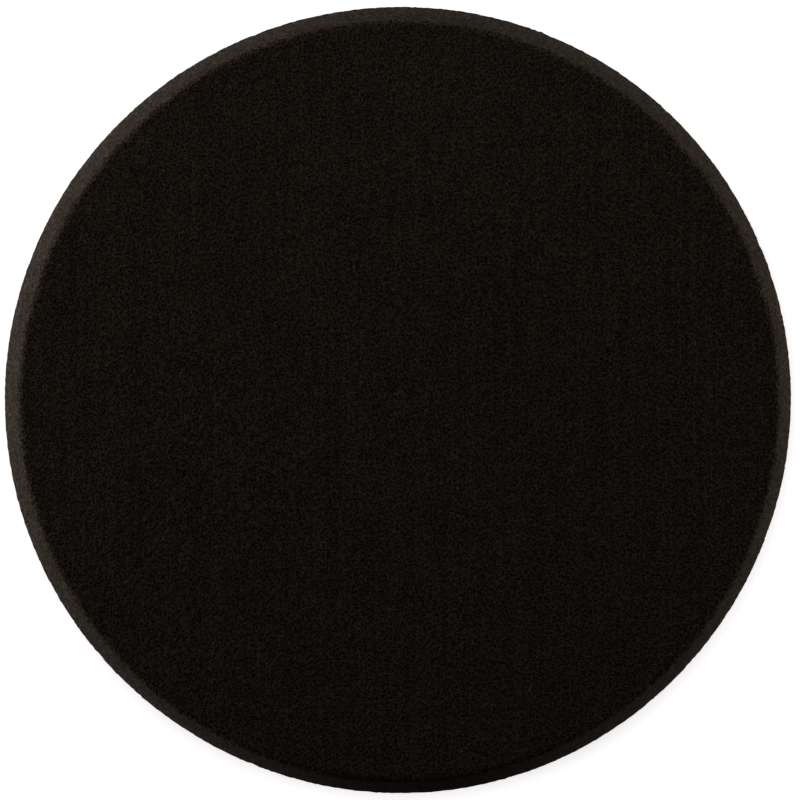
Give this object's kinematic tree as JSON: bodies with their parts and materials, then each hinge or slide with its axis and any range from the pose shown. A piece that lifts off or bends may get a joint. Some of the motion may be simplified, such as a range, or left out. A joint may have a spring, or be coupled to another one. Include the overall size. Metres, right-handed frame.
{
  "type": "polishing pad",
  "caption": "Round black foam polishing pad with a flat face, tapered side and hook-and-loop back for a 150 mm backing plate.",
  "frame": {"origin": "centre of the loop side, at the tips of the loops, which is the middle of the surface the pad lies on", "axes": "+Z along the pad's axis, from the loop side towards the working face; X and Y are any two square directions across the pad, with the fine knife marks on the foam running along Y"},
  "size_m": [0.16, 0.16, 0.03],
  "materials": {
    "foam": "matte",
    "adhesive": "satin",
    "loop_ground": "matte",
    "loop_pile": "matte"
  },
  "bodies": {
    "root": {"foam_body": "foam", "adhesive_film": "adhesive", "loop_ground": "loop_ground", "loop_pile": "loop_pile"}
  },
  "joints": []
}
